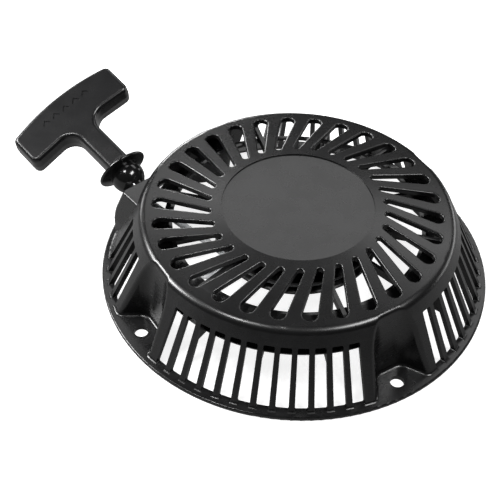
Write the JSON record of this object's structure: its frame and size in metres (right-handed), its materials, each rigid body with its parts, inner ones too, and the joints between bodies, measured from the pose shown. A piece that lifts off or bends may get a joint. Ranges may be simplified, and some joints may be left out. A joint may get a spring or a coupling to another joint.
{
  "type": "recoil starter",
  "caption": "Slotted bell-shaped housing over a sprung rope pulley with swinging pawls; pulling the bar grip through the side guide spins an engine's flywheel cup.",
  "frame": {"origin": "crank axis, in the plane of the mounting face under the flange", "axes": "+Z along the crank axis, away from the engine; -Y towards the middle of the front vent panel; the rope leaves to the -X side"},
  "size_m": [0.3038, 0.236, 0.0698],
  "materials": {
    "housing_plastic": "fine moulded texture, matt",
    "guide_plastic": "glossy",
    "grip_plastic": "satin, mould parting line",
    "pulley_plastic": "glass-filled nylon, satin",
    "pawl_steel": "sintered steel, oiled",
    "washer_plastic": "natural nylon",
    "rope": "braided polyester cord",
    "insert_brass": "turned",
    "bushing_bronze": "sintered bronze",
    "clip_steel": "spring steel",
    "keeper_steel": "pressed sheet, zinc plated",
    "spring_steel": "blue-grey spring strip",
    "washer_steel": "zinc plated",
    "pin_steel": "ground",
    "retainer_steel": "pressed sheet, zinc plated",
    "wire_steel": "spring wire",
    "screw_steel": "zinc plated, yellow passivated"
  },
  "bodies": {
    "housing": {"housing": "housing_plastic", "post_insert": "insert_brass", "spring_keeper": "keeper_steel", "recoil_spring": "spring_steel", "rope_guide": "guide_plastic", "guide_clip": "clip_steel", "rope_inner_run": "rope", "thrust_washer": "washer_steel", "centre_screw": "screw_steel", "pulley_washer": "washer_plastic"},
    "pulley": {"pulley": "pulley_plastic", "pulley_bushing": "bushing_bronze", "rope_coil": "rope", "rope_tail": "rope", "pawl_pin_a": "pin_steel", "pawl_pin_b": "pin_steel", "brake_spring": "wire_steel"},
    "grip": {"grip": "grip_plastic", "grip_washer": "washer_steel", "grip_knot": "rope", "rope_outer_run": "rope"},
    "retainer": {"pawl_retainer": "retainer_steel"},
    "pawl_a": {"pawl_a": "pawl_steel"},
    "pawl_b": {"pawl_b": "pawl_steel"}
  },
  "joints": [
    {"name": "pulley_spin", "type": "hinge", "parent": "housing", "child": "pulley", "pos_m": [0, 0, 0.033], "axis": [0, 0, -1], "range_deg": [0, 1782], "deforming": ["recoil_spring"]},
    {"name": "grip_pull", "type": "slide", "parent": "housing", "child": "grip", "axis": [-0.82, 0.5285, 0.2198], "range_m": [0, 1.056]},
    {"name": "retainer_lag", "type": "hinge", "parent": "pulley", "child": "retainer", "pos_m": [0, 0, 0.022], "axis": [0, 0, 1], "range_deg": [0, 24]},
    {"name": "pawl_a_swing", "type": "hinge", "parent": "pulley", "child": "pawl_a", "pos_m": [-0.01429, 0.00825, 0.026], "axis": [0, 0, 1], "range_deg": [0, 40]},
    {"name": "pawl_b_swing", "type": "hinge", "parent": "pulley", "child": "pawl_b", "pos_m": [0.01429, -0.00825, 0.026], "axis": [0, 0, 1], "range_deg": [0, 40]}
  ],
  "couplings": [
    {"joint": "grip_pull", "follows": "pulley_spin", "m_per_rad": 0.03395},
    {"joint": "pawl_a_swing", "follows": "retainer_lag", "ratio": 1.5},
    {"joint": "pawl_b_swing", "follows": "retainer_lag", "ratio": 1.5}
  ]
}
